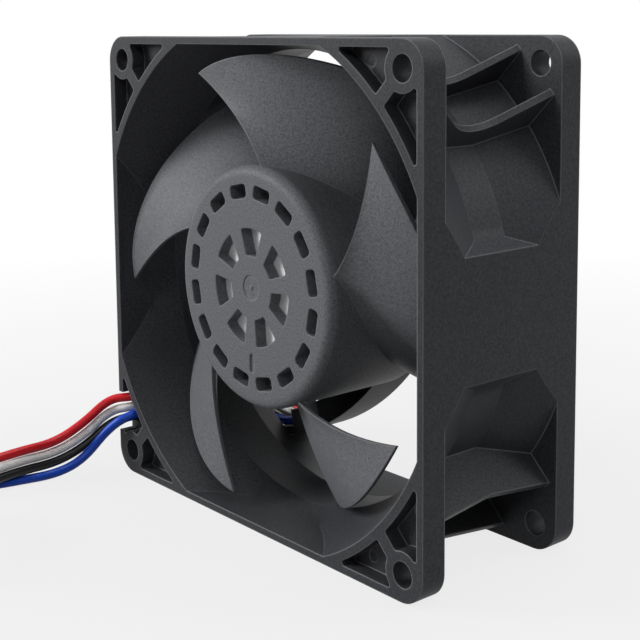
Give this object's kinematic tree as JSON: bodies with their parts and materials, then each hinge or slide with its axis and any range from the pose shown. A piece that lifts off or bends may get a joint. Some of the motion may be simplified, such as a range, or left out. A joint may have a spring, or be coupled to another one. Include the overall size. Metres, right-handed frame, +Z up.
{
  "type": "axial cooling fan",
  "caption": "Square axial cooling fan for a server: flanged frame, ball-bearing motor and swept-blade impeller, with its leads in a coil that ends in a plug.",
  "frame": {"origin": "centre of the foot, the frame's bottom face", "axes": "+X right and +Z up seen from the inlet, +Y along the air path from the inlet face to the outlet face"},
  "size_m": [0.101, 0.1176, 0.092],
  "materials": {
    "frame_plastic": "fine-grained black moulding",
    "impeller_plastic": "fine-grained black moulding",
    "brass": "turned",
    "bearing_steel": "ground",
    "lamination_steel": "stacked sheet",
    "yoke_steel": "zinc-plated",
    "insulator_plastic": "moulded",
    "copper_wire": "enamelled copper wire",
    "board_laminate": "coated laminate",
    "chip_plastic": "moulded",
    "capacitor_ceramic": "ceramic",
    "tinned_wire": "tinned",
    "lead_blue": "smooth insulation",
    "lead_black": "smooth insulation",
    "lead_white": "smooth insulation",
    "lead_red": "smooth insulation",
    "connector_plastic": "moulded",
    "magnet_rubber": "bonded magnet"
  },
  "bodies": {
    "frame": {"frame_housing": "frame_plastic", "bearing_tube": "brass", "bearing_cap": "frame_plastic", "front_bearing_outer_ring": "bearing_steel", "rear_bearing_outer_ring": "bearing_steel", "stator_core": "lamination_steel", "front_insulator": "insulator_plastic", "rear_insulator": "insulator_plastic", "windings": "copper_wire", "circuit_board": "board_laminate", "driver_chip": "chip_plastic", "hall_sensor": "chip_plastic", "board_capacitors": "capacitor_ceramic", "terminal_pins": "tinned_wire", "inner_lead_blue": "lead_blue", "inner_lead_black": "lead_black", "inner_lead_white": "lead_white", "inner_lead_red": "lead_red", "lead_blue": "lead_blue", "lead_black": "lead_black", "lead_white": "lead_white", "lead_red": "lead_red", "lead_coil": "lead_black", "connector_housing": "connector_plastic", "connector_terminals": "tinned_wire"},
    "rotor": {"impeller": "impeller_plastic", "rotor_yoke": "yoke_steel", "magnet_ring": "magnet_rubber", "shaft_bush": "brass", "shaft": "bearing_steel", "retaining_ring": "bearing_steel", "preload_spring": "bearing_steel", "front_bearing_inner_ring": "bearing_steel", "rear_bearing_inner_ring": "bearing_steel"},
    "front_balls": {"front_bearing_balls": "bearing_steel", "front_bearing_cage": "bearing_steel"},
    "rear_balls": {"rear_bearing_balls": "bearing_steel", "rear_bearing_cage": "bearing_steel"}
  },
  "joints": [
    {"name": "rotor_spin", "type": "hinge", "parent": "frame", "child": "rotor", "pos_m": [0, 0, 0.046], "axis": [0, 1, 0], "continuous": true},
    {"name": "front_balls_spin", "type": "hinge", "parent": "frame", "child": "front_balls", "pos_m": [0, 0, 0.046], "axis": [0, 1, 0], "continuous": true},
    {"name": "rear_balls_spin", "type": "hinge", "parent": "frame", "child": "rear_balls", "pos_m": [0, 0, 0.046], "axis": [0, 1, 0], "continuous": true}
  ],
  "couplings": [
    {"joint": "front_balls_spin", "follows": "rotor_spin", "ratio": 0.3636},
    {"joint": "rear_balls_spin", "follows": "rotor_spin", "ratio": 0.3636}
  ]
}
